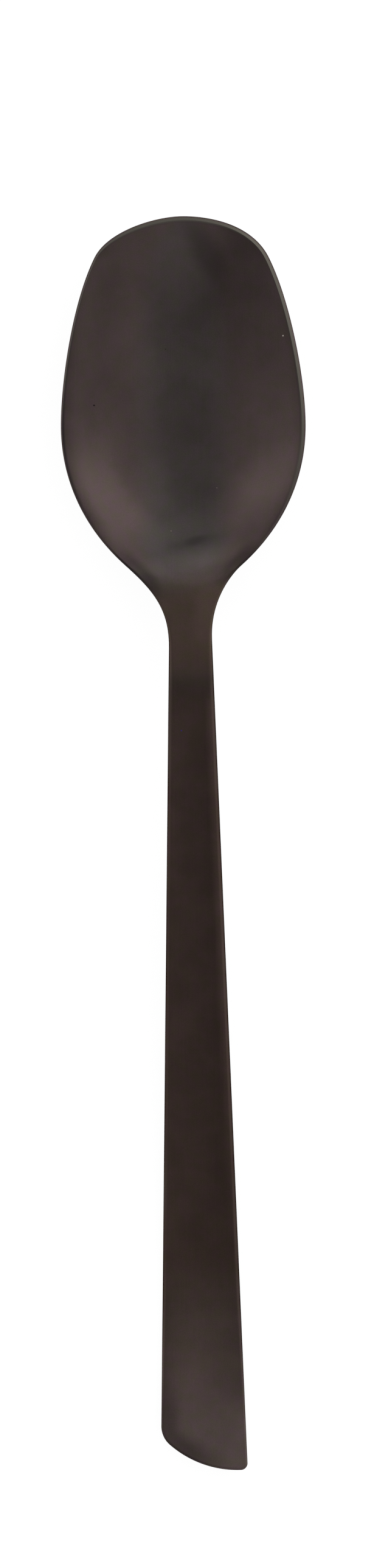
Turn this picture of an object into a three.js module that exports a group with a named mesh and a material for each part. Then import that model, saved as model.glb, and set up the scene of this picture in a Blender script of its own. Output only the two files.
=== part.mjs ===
// A tablespoon in dark coated steel: a pressed bowl with its neck, and a flat handle bar with a slanted end.
// Millimetres, +Z up. The spoon lies on its belly, the bowl opens upwards and its tip points along +Y.
// Stations along the spoon are measured from the bend line across the neck, where bowl and handle meet.

import * as THREE from 'three';
import { mergeVertices } from 'three/addons/utils/BufferGeometryUtils.js';

// Lengths along the spoon
const NECK_LENGTH = 14.5; // bend line to the start of the hollow
const HEEL_LENGTH = 27.3; // start of the hollow to the widest station of the bowl
const FRONT_LENGTH = 34.2; // widest station to the tip
const HANDLE_LENGTH = 129; // bend line to the lowest point of the slanted end

// Bowl outline, seen from above. A reach says how far the outline keeps its direction from a point.
const BOWL_WIDTH = 40;
const TIP_REACH = 4.3;
const SHOULDER_INSET = 6; // the shoulder lies this far inside the widest half
const SHOULDER_DROP = 6.1; // and this far behind the tip
const SHOULDER_ANGLE = THREE.MathUtils.degToRad(58.6); // fall of the outline at the shoulder
const SHOULDER_FRONT_REACH = 5.95;
const SHOULDER_SIDE_REACH = 4.9;
const SIDE_FRONT_REACH = 10.8; // from the widest point towards the tip
const SIDE_HEEL_REACH = 4; // and towards the heel
const FLANK_WIDTH = 18.6; // where the outline turns from convex to hollow, beside the heel
const FLANK_LEAD = 4.4; // station of that turn, past the start of the hollow
const FLANK_ANGLE = THREE.MathUtils.degToRad(41.2); // slant of the outline at that turn
const FLANK_REACH = 13.2;

// Neck outline: its two sides differ, because the handle lies beside the axis of the bowl
const NECK_LEFT_STRAIGHT = 5.1; // straight run from the bend line before the side sweeps out
const NECK_RIGHT_STRAIGHT = 8.4;
const NECK_LEFT_REACH = 5.2; // from the end of the straight run
const NECK_RIGHT_REACH = 5.8;
const SWEEP_LEFT_REACH = 7.5; // from the flank back towards the neck
const SWEEP_RIGHT_REACH = 1;

// Handle outline
const BEND_WIDTH = 7.4;
const BEND_OFFSET = 1.3; // middle of the bar to the right of the bowl's axis, at the bend line
const END_WIDTH = 14.25; // between the two side lines, at the very end
const END_OFFSET = 3.45;
const END_RADIUS = 16.9; // the slanted end is one arc
const END_LOW_INSET = 1.75; // lowest point of that arc, inside the right side line
const LEFT_CORNER_RADIUS = 4;
const RIGHT_CORNER_RADIUS = 1.1;

// Side view
const BOWL_DEPTH = 8; // rim above the floor of the hollow, at the widest station
const FLOOR_LEAD = 1; // deepest station, behind the widest one
const TIP_DROP = 0.3; // the rim falls this much from the widest station to the tip
const TIP_SLOPE = 0.55; // rise of the floor as it reaches the tip
const HEEL_LEAD = 7; // steepest station of the heel, past the start of the hollow
const HEEL_DROP = 3.9; // floor there, below the start of the hollow
const HEEL_SLOPE = 0.7; // fall of the hollow there
const HEEL_BACK_SLOPE = 0.52; // fall of the belly there
const NECK_SLOPE = 0.065; // the neck climbs to the bend line
const NECK_HOLLOW_SLOPE = 0.14; // and is steeper where the hollow starts
const HANDLE_SLOPE = Math.tan(THREE.MathUtils.degToRad(5)); // the handle falls from the bend line
const UPTURN_LENGTH = 34; // last stretch of the handle, which curves up
const UPTURN_RADIUS = 140;

// Metal
const LIP_THICKNESS = 0.95; // height of the rim's edge
const LIP_LAND = 0.55; // ground land on the rim, seen from above
const LIP_ROUND = 0.2; // softened lower edge of the rim
const FLOOR_THICKNESS = 1.3;
const HEEL_THICKNESS = 2.3;
const NECK_THICKNESS = 2.7;
const END_THICKNESS = 2;
const EDGE_RADIUS = 0.9; // rounded long edges of the neck and the handle
const SECTION_FULLNESS = 0.15; // 0 gives a parabola across the bowl, more gives steeper walls

// Mesh: columns across each face, and steps along each piece of an outline from the bend line outwards
const BOWL_COLUMNS = 14;
const BOWL_STEPS = [2, 6, 9, 10, 10];
const HANDLE_COLUMNS = 2;
const HANDLE_LEFT_STEPS = [1, 7, 7, 9];
const HANDLE_RIGHT_STEPS = [1, 7, 9, 5, 2];

// A rounding can't be larger than the metal it is on, or than a corner that it runs round
const LIP_LOWER = Math.min(LIP_ROUND, LIP_THICKNESS / 2);
const LIP_UPPER = Math.min(LIP_LAND, LIP_THICKNESS - LIP_LOWER);
const BAR_ROUND = Math.min(EDGE_RADIUS, LEFT_CORNER_RADIUS, RIGHT_CORNER_RADIUS);

// Stations worked out from the lengths
const HOLLOW_STATION = NECK_LENGTH;
const FLANK_STATION = HOLLOW_STATION + FLANK_LEAD;
const HEEL_STATION = HOLLOW_STATION + HEEL_LEAD;
const WIDEST_STATION = HOLLOW_STATION + HEEL_LENGTH;
const FLOOR_STATION = WIDEST_STATION - FLOOR_LEAD;
const TIP_STATION = WIDEST_STATION + FRONT_LENGTH;
const UPTURN_STATION = UPTURN_LENGTH - HANDLE_LENGTH;

// Straight sides of the handle and the neck, as the distance from the bowl's axis at a station
function sideLine(bendX, endX) {
  const slope = (bendX - endX) / HANDLE_LENGTH;
  return (station) => bendX + slope * station;
}
const leftSide = sideLine(BEND_OFFSET - BEND_WIDTH / 2, END_OFFSET - END_WIDTH / 2);
const rightSide = sideLine(BEND_OFFSET + BEND_WIDTH / 2, END_OFFSET + END_WIDTH / 2);

// A smooth height along the spoon through knots of station, height and slope, straight beyond both ends
function profile(knots) {
  return (station) => {
    const first = knots[0];
    const last = knots[knots.length - 1];
    if (station <= first.at) return first.height + first.slope * (station - first.at);
    if (station >= last.at) return last.height + last.slope * (station - last.at);
    const next = knots.findIndex((knot) => knot.at > station);
    const a = knots[next - 1];
    const b = knots[next];
    const span = b.at - a.at;
    const s = (station - a.at) / span;
    const eased = s * s * (3 - 2 * s);
    const leaving = s * (1 - s) * (1 - s) * span;
    const arriving = s * s * (s - 1) * span;
    return a.height * (1 - eased) + b.height * eased + a.slope * leaving + b.slope * arriving;
  };
}

// The handle's back is straight, then curves up. It touches the table where the curve is level.
const UPTURN_HEIGHT = (HANDLE_SLOPE * HANDLE_SLOPE * UPTURN_RADIUS) / 2;
function handleBack(station) {
  const past = Math.min(station - UPTURN_STATION, 0);
  const straight = UPTURN_HEIGHT + HANDLE_SLOPE * (station - UPTURN_STATION);
  return straight + (past * past) / (2 * UPTURN_RADIUS);
}

// Upper and lower face along the middle of the bowl and its neck, and the upper face along the rim.
// Middle and rim are one where the metal is flat across.
const CREST_HEIGHT = handleBack(0) + NECK_THICKNESS;
const HOLLOW_HEIGHT = CREST_HEIGHT - ((NECK_SLOPE + NECK_HOLLOW_SLOPE) / 2) * NECK_LENGTH;
const HEEL_HEIGHT = HOLLOW_HEIGHT - HEEL_DROP;
const RIM_HEIGHT = FLOOR_THICKNESS + BOWL_DEPTH;
const TIP_HEIGHT = RIM_HEIGHT - TIP_DROP;
const bowlFloor = profile([
  { at: 0, height: CREST_HEIGHT, slope: -NECK_SLOPE },
  { at: HOLLOW_STATION, height: HOLLOW_HEIGHT, slope: -NECK_HOLLOW_SLOPE },
  { at: HEEL_STATION, height: HEEL_HEIGHT, slope: -HEEL_SLOPE },
  { at: FLOOR_STATION, height: FLOOR_THICKNESS, slope: 0 },
  { at: TIP_STATION - LIP_UPPER, height: TIP_HEIGHT, slope: TIP_SLOPE },
]);
const bowlBelly = profile([
  { at: 0, height: CREST_HEIGHT - NECK_THICKNESS, slope: -NECK_SLOPE },
  { at: HOLLOW_STATION, height: HOLLOW_HEIGHT - NECK_THICKNESS, slope: -NECK_HOLLOW_SLOPE },
  { at: HEEL_STATION, height: HEEL_HEIGHT - HEEL_THICKNESS, slope: -HEEL_BACK_SLOPE },
  { at: FLOOR_STATION, height: 0, slope: 0 },
  { at: TIP_STATION - LIP_LOWER, height: TIP_HEIGHT - LIP_THICKNESS, slope: TIP_SLOPE },
]);
const bowlRim = profile([
  { at: 0, height: CREST_HEIGHT, slope: -NECK_SLOPE },
  { at: HOLLOW_STATION, height: HOLLOW_HEIGHT, slope: -NECK_HOLLOW_SLOPE },
  { at: WIDEST_STATION, height: RIM_HEIGHT, slope: 0 },
  { at: TIP_STATION - LIP_UPPER, height: TIP_HEIGHT, slope: 0 },
]);

// The same three lines over the whole spoon. The handle is flat across and thins towards its end.
function handleFront(station) {
  const taper = (NECK_THICKNESS - END_THICKNESS) / HANDLE_LENGTH;
  return handleBack(station) + NECK_THICKNESS + taper * station;
}
const upperMiddle = (station) => (station > 0 ? bowlFloor(station) : handleFront(station));
const lowerMiddle = (station) => (station > 0 ? bowlBelly(station) : handleBack(station));
const rim = (station) => (station > 0 ? bowlRim(station) : handleFront(station));

// 0 on the handle and neck, with rounded edges, and 1 round the bowl, with a thin ground rim
const rimShare = (station) => THREE.MathUtils.smoothstep(station, HOLLOW_STATION, FLOOR_STATION);
const edge = (station) => {
  const share = rimShare(station);
  const bar = upperMiddle(station) - lowerMiddle(station);
  const barRound = Math.min(BAR_ROUND, bar / 2);
  return {
    height: THREE.MathUtils.lerp(bar, LIP_THICKNESS, share),
    upper: THREE.MathUtils.lerp(barRound, LIP_UPPER, share),
    lower: THREE.MathUtils.lerp(barRound, LIP_LOWER, share),
  };
};

// Height of the dish between the middle (0) and the edge (1 and -1)
const dish = (across) => {
  const square = across * across;
  return square * (1 - SECTION_FULLNESS) + square * square * SECTION_FULLNESS;
};
const upperFace = (station, across) => THREE.MathUtils.lerp(upperMiddle(station), rim(station), dish(across));
const lowerFace = (station, across) => {
  const rimBack = rim(station) - edge(station).height;
  return THREE.MathUtils.lerp(lowerMiddle(station), rimBack, dish(across));
};

// Points along one side of an outline, each with its inward direction. The outline's pieces are curves
// in order from the bend line, and counts says how many steps each one has.
function sideChain(curves, counts, inwardSign) {
  const chain = [];
  curves.forEach((curve, piece) => {
    for (let i = piece === 0 ? 0 : 1; i <= counts[piece]; i += 1) {
      const t = i / counts[piece];
      const tangent = curve.getTangent(t);
      const inward = new THREE.Vector2(tangent.y, -tangent.x).multiplyScalar(inwardSign);
      chain.push({ point: curve.getPoint(t), inward });
    }
  });
  const start = chain[0].inward;
  start.set(Math.sign(start.x), 0);
  return chain;
}

// The closed loop of points round the metal at one row: upper face, right edge, lower face, left edge
function sectionLoop(left, right, columns) {
  const loop = [];
  const inset = (side, amount) => side.point.clone().addScaledVector(side.inward, amount);
  const diagonal = 1 - Math.SQRT1_2;
  const face = (leftEdge, rightEdge, height, from, to) => {
    for (let i = 0; i <= columns; i += 1) {
      const across = THREE.MathUtils.lerp(from, to, i / columns);
      const p = leftEdge.clone().lerp(rightEdge, (across + 1) / 2);
      loop.push(new THREE.Vector3(p.x, p.y, height(p.y, across)));
    }
  };
  const edgePoints = (side) => {
    const { upper, lower, height } = edge(side.point.y);
    const place = (amount, drop) => {
      const p = inset(side, amount);
      return new THREE.Vector3(p.x, p.y, rim(p.y) - drop);
    };
    return [
      place(diagonal * upper, diagonal * upper),
      place(0, upper),
      place(0, height - lower),
      place(diagonal * lower, height - diagonal * lower),
    ];
  };
  const leftSize = edge(left.point.y);
  const rightSize = edge(right.point.y);
  face(inset(left, leftSize.upper), inset(right, rightSize.upper), upperFace, -1, 1);
  loop.push(...edgePoints(right));
  face(inset(left, leftSize.lower), inset(right, rightSize.lower), lowerFace, 1, -1);
  loop.push(...edgePoints(left).reverse());
  return loop;
}

// A closed skin over the rows. The first row is a flat end, and the last row shrinks to one upright line.
function skin(leftChain, rightChain, columns, facesOut) {
  const loops = leftChain.map((left, row) => sectionLoop(left, rightChain[row], columns));
  const size = loops[0].length;
  const triangles = [];
  const addTriangle = (a, b, c) => triangles.push(...(facesOut ? [a, b, c] : [a, c, b]));
  for (let row = 0; row + 1 < loops.length; row += 1) {
    for (let i = 0; i < size; i += 1) {
      const a = row * size + i;
      const b = row * size + ((i + 1) % size);
      addTriangle(a, b, b + size);
      addTriangle(a, b + size, a + size);
    }
  }
  const endCentre = new THREE.Box3().setFromPoints(loops[0]).getCenter(new THREE.Vector3());
  const points = [...loops.flat(), endCentre];
  for (let i = 0; i < size; i += 1) {
    addTriangle(points.length - 1, (i + 1) % size, i);
  }

  const raw = new THREE.BufferGeometry().setFromPoints(points);
  raw.setIndex(triangles);
  const merged = mergeVertices(raw);
  const index = Array.from(merged.getIndex().array);
  const kept = [];
  for (let i = 0; i < index.length; i += 3) {
    const corners = index.slice(i, i + 3);
    if (new Set(corners).size === 3) kept.push(...corners);
  }
  merged.setIndex(kept);
  merged.computeVertexNormals();
  return merged;
}

// One side of the bowl's outline from the bend line to the tip. Sign is -1 on the left and 1 on the right.
function bowlSide(sign, neckSide, straight, neckReach, sweepReach) {
  const at = (x, y) => new THREE.Vector2(x, y);
  const along = (from, angle, reach) =>
    at(from.x + sign * Math.cos(angle) * reach, from.y + Math.sin(angle) * reach);
  const start = at(neckSide(0), 0);
  const neck = at(neckSide(straight), straight);
  const flank = at((sign * FLANK_WIDTH) / 2, FLANK_STATION);
  const widest = at((sign * BOWL_WIDTH) / 2, WIDEST_STATION);
  const shoulder = at(sign * (BOWL_WIDTH / 2 - SHOULDER_INSET), TIP_STATION - SHOULDER_DROP);
  const tip = at(0, TIP_STATION);
  const neckControl = at(neckSide(straight + neckReach), straight + neckReach);
  return [
    new THREE.LineCurve(start, neck),
    new THREE.CubicBezierCurve(neck, neckControl, along(flank, FLANK_ANGLE, -sweepReach), flank),
    new THREE.CubicBezierCurve(
      flank,
      along(flank, FLANK_ANGLE, FLANK_REACH),
      at(widest.x, WIDEST_STATION - SIDE_HEEL_REACH),
      widest,
    ),
    new THREE.CubicBezierCurve(
      widest,
      at(widest.x, WIDEST_STATION + SIDE_FRONT_REACH),
      along(shoulder, -SHOULDER_ANGLE, SHOULDER_SIDE_REACH),
      shoulder,
    ),
    new THREE.CubicBezierCurve(
      shoulder,
      along(shoulder, -SHOULDER_ANGLE, -SHOULDER_FRONT_REACH),
      at(sign * TIP_REACH, TIP_STATION),
      tip,
    ),
  ];
}

function bowlGeometry() {
  const left = bowlSide(-1, leftSide, NECK_LEFT_STRAIGHT, NECK_LEFT_REACH, SWEEP_LEFT_REACH);
  const right = bowlSide(1, rightSide, NECK_RIGHT_STRAIGHT, NECK_RIGHT_REACH, SWEEP_RIGHT_REACH);
  return skin(sideChain(left, BOWL_STEPS, 1), sideChain(right, BOWL_STEPS, -1), BOWL_COLUMNS, true);
}

// The slanted end: one arc whose lowest point closes the length, with a round corner to each side line
const END_CENTRE = new THREE.Vector2(rightSide(-HANDLE_LENGTH) - END_LOW_INSET, END_RADIUS - HANDLE_LENGTH);

// The round corner between a side line and the end arc, as its own centre and where it meets both
function endCorner(side, radius, inwardSign) {
  const run = new THREE.Vector2(side(0) - side(-HANDLE_LENGTH), HANDLE_LENGTH).normalize();
  const inward = new THREE.Vector2(run.y, -run.x).multiplyScalar(inwardSign);
  const onOffset = new THREE.Vector2(side(END_CENTRE.y), END_CENTRE.y).addScaledVector(inward, radius);
  const toCentre = END_CENTRE.clone().sub(onOffset);
  const nearest = toCentre.dot(run);
  const apart = toCentre.lengthSq() - nearest * nearest;
  const down = nearest - Math.sqrt((END_RADIUS - radius) ** 2 - apart);
  const centre = onOffset.addScaledVector(run, down);
  const sideAngle = Math.atan2(-inward.y, -inward.x);
  const endAngle = Math.atan2(centre.y - END_CENTRE.y, centre.x - END_CENTRE.x);
  return { centre, radius, sideAngle, endAngle, meetsSide: centre.clone().addScaledVector(inward, -radius) };
}

function arc(centre, radius, from, to) {
  return new THREE.EllipseCurve(centre.x, centre.y, radius, radius, from, to, to < from);
}

// One side of the handle from the bend line to the lowest point of its end. Rows start at the stations.
function handleSide(side, corner, stations) {
  const starts = stations.map((station) => new THREE.Vector2(side(station), station));
  const lines = starts.map((start, i) => new THREE.LineCurve(start, starts[i + 1] ?? corner.meetsSide));
  const turn = 2 * Math.PI;
  const lowest = -Math.PI / 2;
  const nearLowest = (angle) => angle + turn * Math.round((lowest - angle) / turn);
  const endAngle = nearLowest(corner.endAngle);
  return [
    ...lines,
    arc(corner.centre, corner.radius, nearLowest(corner.sideAngle), endAngle),
    arc(END_CENTRE, END_RADIUS, endAngle, lowest),
  ];
}

function handleGeometry() {
  const leftCorner = endCorner(leftSide, LEFT_CORNER_RADIUS, 1);
  const rightCorner = endCorner(rightSide, RIGHT_CORNER_RADIUS, -1);
  const left = handleSide(leftSide, leftCorner, [0, UPTURN_STATION]);
  const right = handleSide(rightSide, rightCorner, [0, UPTURN_STATION, leftCorner.meetsSide.y]);
  const leftChain = sideChain(left, HANDLE_LEFT_STEPS, -1);
  const rightChain = sideChain(right, HANDLE_RIGHT_STEPS, 1);
  return skin(leftChain, rightChain, HANDLE_COLUMNS, false);
}

function coatedSteel(color, roughness) {
  return new THREE.MeshStandardMaterial({ color, roughness, metalness: 1 });
}

function piece(name, geometry, material) {
  const mesh = new THREE.Mesh(geometry, material);
  mesh.name = name;
  return mesh;
}

const spoon = new THREE.Group();
spoon.name = 'tablespoon';
spoon.add(piece('bowl', bowlGeometry(), coatedSteel('#3c3332', 0.42)));
spoon.add(piece('handle', handleGeometry(), coatedSteel('#302624', 0.4)));

// The origin lies under the middle of the spoon's length
spoon.position.y = (HANDLE_LENGTH - TIP_STATION) / 2;

export default spoon;
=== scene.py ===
# %% [markdown]
# # A tablespoon in dark coated steel
#
# The spoon is pressed from steel sheet, brushed lengthwise and given a thin brown-black coating. Seen from
# above it is an egg-shaped bowl with a ground rim, a short neck, and a flat handle with a slanted end.
#
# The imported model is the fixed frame: its two solids say where bowl and handle are and how large they are.
# They are faceted, so this lesson lays a fine, smooth skin over each of them, and then gives both skins
# their finish.

# %% Load the frame
import math

import bmesh
import bpy
import numpy as np
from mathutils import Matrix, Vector
from mathutils.bvhtree import BVHTree


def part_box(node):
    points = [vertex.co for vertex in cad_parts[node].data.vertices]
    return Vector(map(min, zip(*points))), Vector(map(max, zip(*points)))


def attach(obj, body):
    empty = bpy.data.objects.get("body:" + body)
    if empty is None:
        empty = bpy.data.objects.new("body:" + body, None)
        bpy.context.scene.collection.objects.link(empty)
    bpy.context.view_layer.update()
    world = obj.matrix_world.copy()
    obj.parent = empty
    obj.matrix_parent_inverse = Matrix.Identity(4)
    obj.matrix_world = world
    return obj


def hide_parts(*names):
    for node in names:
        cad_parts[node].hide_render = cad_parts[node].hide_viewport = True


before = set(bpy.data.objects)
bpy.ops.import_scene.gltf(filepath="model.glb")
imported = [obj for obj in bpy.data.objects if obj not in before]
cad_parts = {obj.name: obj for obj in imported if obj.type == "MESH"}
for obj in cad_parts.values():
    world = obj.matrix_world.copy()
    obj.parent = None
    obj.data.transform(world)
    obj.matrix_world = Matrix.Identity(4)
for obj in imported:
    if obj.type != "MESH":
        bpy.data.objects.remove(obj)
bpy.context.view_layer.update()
print("nodes of the frame:", sorted(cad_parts))

# %% [markdown]
# ## Stations along the spoon
#
# A spoon maker measures from the bend line across the neck, because the bowl is pressed on one side of it
# and the handle lies on the other. Each place along the spoon is a station here: its distance from that
# line, positive towards the tip of the bowl. The boxes of the two solids give the bend line, both ends and
# the greatest width, so the skins can't drift away from the frame.

# %% Stations and greatest sizes
MM = 0.001

bowl_low, bowl_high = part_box("bowl")
handle_low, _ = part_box("handle")
bend_y = bowl_low.y
tip_station = bowl_high.y - bend_y
end_station = handle_low.y - bend_y
half_width = (bowl_high.x - bowl_low.x) / 2
crest_height = bowl_high.z
table_height = min(bowl_low.z, handle_low.z)
print(f"tip at {tip_station / MM:.1f} mm, end at {end_station / MM:.1f} mm")
print(f"crest {crest_height / MM:.2f} mm high")

# %% [markdown]
# ## The side view
#
# From the side, the handle falls from the bend to the table and its end turns up a little. The neck runs
# the other way, dips into the heel and opens into the bowl. Heights like these could be drawn as a curve
# object, but a formula is easier to sample at any station, so each line is a cubic through a few knots of
# station, height and slope.

# %% A smooth height through knots
def smooth_height(station, knots):
    """Cubic through knots of (station, height, slope), straight on beyond both ends."""
    at, height, slope = (np.array(column) for column in zip(*knots))
    inside = np.clip(station, at[0], at[-1])
    i = np.clip(np.searchsorted(at, inside, side="right") - 1, 0, len(at) - 2)
    span = at[i + 1] - at[i]
    t = (inside - at[i]) / span
    eased = t * t * (3 - 2 * t)
    curve = height[i] * (1 - eased) + height[i + 1] * eased
    curve += span * (slope[i] * t * (1 - t) ** 2 + slope[i + 1] * t**2 * (t - 1))
    before = slope[0] * np.minimum(station - at[0], 0)
    after = slope[-1] * np.maximum(station - at[-1], 0)
    return curve + before + after


# %% Back and front of the handle
HANDLE_SLOPE = math.tan(math.radians(5))
UPTURN_LENGTH = 34 * MM
UPTURN_RADIUS = 140 * MM
NECK_THICKNESS = 2.7 * MM
END_THICKNESS = 2 * MM

handle_taper = (NECK_THICKNESS - END_THICKNESS) / -end_station
upturn_station = end_station + UPTURN_LENGTH


def handle_back(station):
    """Straight from the bend line, then curving up. It touches the table where the curve is level."""
    past = np.minimum(station - upturn_station, 0)
    straight = crest_height - NECK_THICKNESS + HANDLE_SLOPE * station
    return straight + past**2 / (2 * UPTURN_RADIUS)


def handle_front(station):
    return handle_back(station) + NECK_THICKNESS + handle_taper * station


print(f"handle {handle_back(np.array(end_station)) / MM:.2f} mm above the table at its end")

# %% [markdown]
# ## The ground rim
#
# After pressing, the rim of the bowl is ground, which leaves a narrow bright land. It was ground by hand,
# and it is wider on the right and at the tip than on the left. A bevel modifier would make it the same
# width all round, so the land is part of the formulas: its width depends on the direction that the edge
# faces.

# %% Width of the land on the rim
LAND_NARROW = 0.3 * MM
LAND_WIDE = 0.62 * MM
LAND_ANGLE = math.radians(50)
LAND_TURN = (-0.5, 0.8)

land_side = np.array([math.cos(LAND_ANGLE), math.sin(LAND_ANGLE)])


def smoothstep(value, low, high):
    t = np.clip((value - low) / (high - low), 0, 1)
    return t * t * (3 - 2 * t)


def land_share(outward):
    """0 where the edge faces away from the wide side of the land, 1 where it faces that side."""
    return smoothstep(outward @ land_side, *LAND_TURN)


def land_width(outward):
    return LAND_NARROW + (LAND_WIDE - LAND_NARROW) * land_share(outward)


tip_land = float(land_width(np.array([[0.0, 1.0]]))[0])
print(f"land at the tip {tip_land / MM:.2f} mm wide")

# %% [markdown]
# ## The lines of the bowl
#
# Three lines carry the bowl: the floor of the hollow, the belly under it and the rim. Floor and rim are one
# behind the heel, where the metal is a flat bar, and they meet again at the tip.

# %% Floor, belly and rim of the bowl
NECK_LENGTH = 14.5 * MM
HEEL_LEAD = 7 * MM
HEEL_DROP = 3.9 * MM
HEEL_THICKNESS = 2.3 * MM
WIDEST_LEAD = 27.3 * MM
FLOOR_LEAD = 1 * MM
FLOOR_THICKNESS = 1.3 * MM
BOWL_DEPTH = 8 * MM
TIP_DROP = 0.3 * MM
LIP_THICKNESS = 0.95 * MM
LIP_ROUND = 0.2 * MM
NECK_SLOPE = 0.065
HOLLOW_SLOPE = 0.14
HEEL_SLOPE = 0.7
HEEL_BACK_SLOPE = 0.52
TIP_SLOPE = 0.55

hollow_station = NECK_LENGTH
heel_station = hollow_station + HEEL_LEAD
widest_station = hollow_station + WIDEST_LEAD
floor_station = widest_station - FLOOR_LEAD
hollow_height = crest_height - (NECK_SLOPE + HOLLOW_SLOPE) / 2 * NECK_LENGTH
heel_height = hollow_height - HEEL_DROP
floor_height = table_height + FLOOR_THICKNESS
rim_height = floor_height + BOWL_DEPTH
tip_height = rim_height - TIP_DROP

floor_knots = [
    (0, crest_height, -NECK_SLOPE),
    (hollow_station, hollow_height, -HOLLOW_SLOPE),
    (heel_station, heel_height, -HEEL_SLOPE),
    (floor_station, floor_height, 0),
    (tip_station - tip_land, tip_height, TIP_SLOPE),
]
belly_knots = [
    (0, crest_height - NECK_THICKNESS, -NECK_SLOPE),
    (hollow_station, hollow_height - NECK_THICKNESS, -HOLLOW_SLOPE),
    (heel_station, heel_height - HEEL_THICKNESS, -HEEL_BACK_SLOPE),
    (floor_station, table_height, 0),
    (tip_station - LIP_ROUND, tip_height - LIP_THICKNESS, TIP_SLOPE),
]
rim_knots = [
    (0, crest_height, -NECK_SLOPE),
    (hollow_station, hollow_height, -HOLLOW_SLOPE),
    (widest_station, rim_height, 0),
    (tip_station - tip_land, tip_height, 0),
]
print(f"bowl {BOWL_DEPTH / MM:.1f} mm deep, rim {rim_height / MM:.1f} mm above the table")

# %% [markdown]
# ## A soft bend
#
# On the real spoon the bend is not a sharp ridge: the tone changes over about three millimetres. The frame
# has a plain ridge there, so a parabola takes its top off. Its ends meet both slopes, and the skins of bowl
# and handle pass through it at the same height, so that no step shows where they meet.

# %% Lines over the whole spoon
BEND_REACH = 1.8 * MM


def bend_cut(station, ridge):
    """Height taken off a ridge whose two sides differ by that slope."""
    inside = np.clip(BEND_REACH - np.abs(station), 0, None)
    return ridge * inside**2 / (4 * BEND_REACH)


def along_spoon(station, bowl_knots, handle_line, ridge):
    line = np.where(station > 0, smooth_height(station, bowl_knots), handle_line(station))
    return line - bend_cut(station, ridge)


front_ridge = HANDLE_SLOPE + handle_taper + NECK_SLOPE
back_ridge = HANDLE_SLOPE + NECK_SLOPE


def upper_line(station):
    return along_spoon(station, floor_knots, handle_front, front_ridge)


def lower_line(station):
    return along_spoon(station, belly_knots, handle_back, back_ridge)


def rim_line(station):
    return along_spoon(station, rim_knots, handle_front, front_ridge)


print(f"the bend is lowered by {bend_cut(np.array(0.0), front_ridge) / MM:.3f} mm")

# %% [markdown]
# ## The outline from above
#
# The outline decides how well the spoon is recognised. It is drawn in the same kinds of curve as the
# solids: straight sides on the handle and neck, cubic curves round the bowl, and arcs at the slanted end.
# The skin's bowl is a little less even than its solid, because the two shoulders of the real spoon differ
# by half a millimetre. Each curve is sampled closely where its rows have to be close: at the bend and round
# the corners.

# %% Curves with their tangents
def bezier(corners, t):
    a, b, c, d = (np.array(corner) for corner in corners)
    t = t[:, None]
    points = a * (1 - t) ** 3 + 3 * b * t * (1 - t) ** 2 + 3 * c * t**2 * (1 - t) + d * t**3
    tangents = (b - a) * (1 - t) ** 2 + 2 * (c - b) * t * (1 - t) + (d - c) * t**2
    return points, tangents


def straight(start, end, t):
    start, end = np.array(start), np.array(end)
    points = start + (end - start) * t[:, None]
    return points, np.tile(end - start, (len(t), 1))


def arc(centre, radius, start, end, t):
    angle = start + (end - start) * t
    spokes = np.column_stack([np.cos(angle), np.sin(angle)])
    tangents = np.column_stack([-spokes[:, 1], spokes[:, 0]]) * math.copysign(1, end - start)
    return np.array(centre) + radius * spokes, tangents


# %% Sampling helpers
def even(count):
    return np.linspace(0, 1, count + 1)


def close_at_start(count):
    return 1 - np.cos(even(count) * math.pi / 2)


def join(pieces, inward_turn):
    """One run of points with the direction into the metal. Each piece starts where the one before it ends."""
    points = np.vstack([pieces[0][0]] + [piece[0][1:] for piece in pieces[1:]])
    tangents = np.vstack([pieces[0][1]] + [piece[1][1:] for piece in pieces[1:]])
    tangents = tangents / np.linalg.norm(tangents, axis=1, keepdims=True)
    inward = inward_turn * np.column_stack([tangents[:, 1], -tangents[:, 0]])
    inward[0] = (math.copysign(1, inward[0, 0]), 0)
    return points, inward


# %% Straight sides of the handle and neck
BEND_WIDTH = 7.4 * MM
BEND_OFFSET = 1.3 * MM
END_WIDTH = 14.25 * MM
END_OFFSET = 3.45 * MM
LEFT, RIGHT = -1, 1


def side_x(side, station):
    at_bend = BEND_OFFSET + side * BEND_WIDTH / 2
    at_end = END_OFFSET + side * END_WIDTH / 2
    return at_bend + (at_end - at_bend) * station / end_station


def on_side(side, station):
    return side_x(side, station), station


print(f"handle {(side_x(RIGHT, end_station) - side_x(LEFT, end_station)) / MM:.2f} mm wide at its end")

# %% One side of the bowl's outline
NECK_STRAIGHT = {LEFT: 5.5 * MM, RIGHT: 6.9 * MM}
NECK_REACH = {LEFT: 6.1 * MM, RIGHT: 6.9 * MM}
SWEEP_REACH = {LEFT: 6.3 * MM, RIGHT: 1.3 * MM}
FLANK_WIDTH = 18.8 * MM
FLANK_LEAD = 4.4 * MM
FLANK_ANGLE = math.radians(41.7)
FLANK_REACH = 13.3 * MM
SIDE_HEEL_REACH = 3.9 * MM
SIDE_FRONT_REACH = 7.4 * MM
SHOULDER_INSET = {LEFT: 5.5 * MM, RIGHT: 6 * MM}
SHOULDER_DROP = 6.75 * MM
SHOULDER_ANGLE = math.radians(63.6)
SHOULDER_SIDE_REACH = 8.05 * MM
SHOULDER_FRONT_REACH = {LEFT: 4.85 * MM, RIGHT: 6 * MM}
TIP_REACH = 4.6 * MM


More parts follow.
